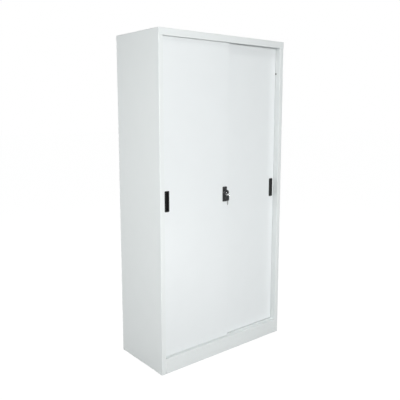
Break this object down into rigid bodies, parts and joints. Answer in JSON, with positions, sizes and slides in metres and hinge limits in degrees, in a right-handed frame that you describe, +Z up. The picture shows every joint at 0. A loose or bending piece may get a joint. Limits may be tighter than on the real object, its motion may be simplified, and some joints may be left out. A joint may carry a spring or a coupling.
{
  "type": "sliding door cabinet",
  "caption": "Tall steel office cabinet with two overlapping sliding doors on rollers, cup handles, a cam lock with keys, and adjustable shelves inside.",
  "frame": {"origin": "on the floor, under the middle of the whole object's box, keys included", "axes": "+Z up, the doors face -Y, +X to the right of a person who faces the doors"},
  "size_m": [0.9, 0.4212, 1.8],
  "materials": {
    "white_powder_coat": "fine-textured satin powder coat",
    "door_powder_coat": "fine-textured satin powder coat",
    "zinc_clip": "zinc-plated pressed steel",
    "black_plastic": "fine-grained moulded black",
    "key_plastic": "moulded black",
    "white_nylon": "moulded nylon",
    "chrome": "polished plating",
    "black_rubber": "matt"
  },
  "bodies": {
    "carcass": {"left_side_panel": "white_powder_coat", "right_side_panel": "white_powder_coat", "top_panel": "white_powder_coat", "back_panel": "white_powder_coat", "bottom_panel": "white_powder_coat", "plinth": "white_powder_coat", "top_track": "white_powder_coat", "left_front_upright": "white_powder_coat", "left_rear_upright": "white_powder_coat", "right_front_upright": "white_powder_coat", "right_rear_upright": "white_powder_coat", "shelf_1": "white_powder_coat", "shelf_2": "white_powder_coat", "shelf_3": "white_powder_coat", "shelf_4": "white_powder_coat", "bottom_track": "white_powder_coat", "left_door_buffer": "black_rubber", "right_door_buffer": "black_rubber", "left_front_clip_1": "zinc_clip", "left_front_clip_2": "zinc_clip", "left_front_clip_3": "zinc_clip", "left_front_clip_4": "zinc_clip", "left_rear_clip_1": "zinc_clip", "left_rear_clip_2": "zinc_clip", "left_rear_clip_3": "zinc_clip", "left_rear_clip_4": "zinc_clip", "right_front_clip_1": "zinc_clip", "right_front_clip_2": "zinc_clip", "right_front_clip_3": "zinc_clip", "right_front_clip_4": "zinc_clip", "right_rear_clip_1": "zinc_clip", "right_rear_clip_2": "zinc_clip", "right_rear_clip_3": "zinc_clip", "right_rear_clip_4": "zinc_clip"},
    "left_door": {"left_door_skin": "door_powder_coat", "left_door_stiffener": "white_powder_coat", "left_door_handle": "black_plastic", "left_door_left_roller_bracket": "zinc_clip", "left_door_left_top_guide": "white_nylon", "left_door_right_roller_bracket": "zinc_clip", "left_door_right_top_guide": "white_nylon", "lock_plate": "black_plastic", "lock_barrel": "chrome"},
    "right_door": {"right_door_skin": "door_powder_coat", "right_door_stiffener": "white_powder_coat", "right_door_handle": "black_plastic", "right_door_left_roller_bracket": "zinc_clip", "right_door_left_top_guide": "white_nylon", "right_door_right_roller_bracket": "zinc_clip", "right_door_right_top_guide": "white_nylon", "lock_strike": "zinc_clip"},
    "lock_core": {"lock_plug": "chrome", "lock_cam": "zinc_clip", "key": "key_plastic"},
    "key_ring": {"key_ring": "chrome"},
    "spare_key": {"spare_key": "key_plastic"},
    "left_door_left_roller": {"left_door_left_roller": "white_nylon"},
    "left_door_right_roller": {"left_door_right_roller": "white_nylon"},
    "right_door_left_roller": {"right_door_left_roller": "white_nylon"},
    "right_door_right_roller": {"right_door_right_roller": "white_nylon"}
  },
  "joints": [
    {"name": "left_door_slide", "type": "slide", "parent": "carcass", "child": "left_door", "axis": [1, 0, 0], "range_m": [0, 0.39]},
    {"name": "right_door_slide", "type": "slide", "parent": "carcass", "child": "right_door", "axis": [1, 0, 0], "range_m": [-0.39, 0]},
    {"name": "key_turn", "type": "hinge", "parent": "left_door", "child": "lock_core", "pos_m": [0.0005, -0.1814, 0.9484], "axis": [0, 1, 0], "range_deg": [0, 90]},
    {"name": "key_ring_swing", "type": "hinge", "parent": "lock_core", "child": "key_ring", "pos_m": [0.0005, -0.2006, 0.9484], "axis": [-1, 0, 0], "range_deg": [-8, 90]},
    {"name": "spare_key_swing", "type": "hinge", "parent": "key_ring", "child": "spare_key", "pos_m": [0.0005, -0.2006, 0.9244], "axis": [-1, 0, 0], "range_deg": [-8, 60]},
    {"name": "left_door_left_roller_spin", "type": "hinge", "parent": "left_door", "child": "left_door_left_roller", "pos_m": [-0.361, -0.1664, 0.09665], "axis": [0, 1, 0], "range_deg": [-5, 2800]},
    {"name": "left_door_right_roller_spin", "type": "hinge", "parent": "left_door", "child": "left_door_right_roller", "pos_m": [-0.029, -0.1664, 0.09665], "axis": [0, 1, 0], "range_deg": [-5, 2800]},
    {"name": "right_door_left_roller_spin", "type": "hinge", "parent": "right_door", "child": "right_door_left_roller", "pos_m": [0.029, -0.1474, 0.09665], "axis": [0, 1, 0], "range_deg": [-2800, 5]},
    {"name": "right_door_right_roller_spin", "type": "hinge", "parent": "right_door", "child": "right_door_right_roller", "pos_m": [0.361, -0.1474, 0.09665], "axis": [0, 1, 0], "range_deg": [-2800, 5]}
  ],
  "couplings": [
    {"joint": "left_door_left_roller_spin", "follows": "left_door_slide", "rad_per_m": 125},
    {"joint": "left_door_right_roller_spin", "follows": "left_door_slide", "rad_per_m": 125},
    {"joint": "right_door_left_roller_spin", "follows": "right_door_slide", "rad_per_m": 125},
    {"joint": "right_door_right_roller_spin", "follows": "right_door_slide", "rad_per_m": 125}
  ]
}
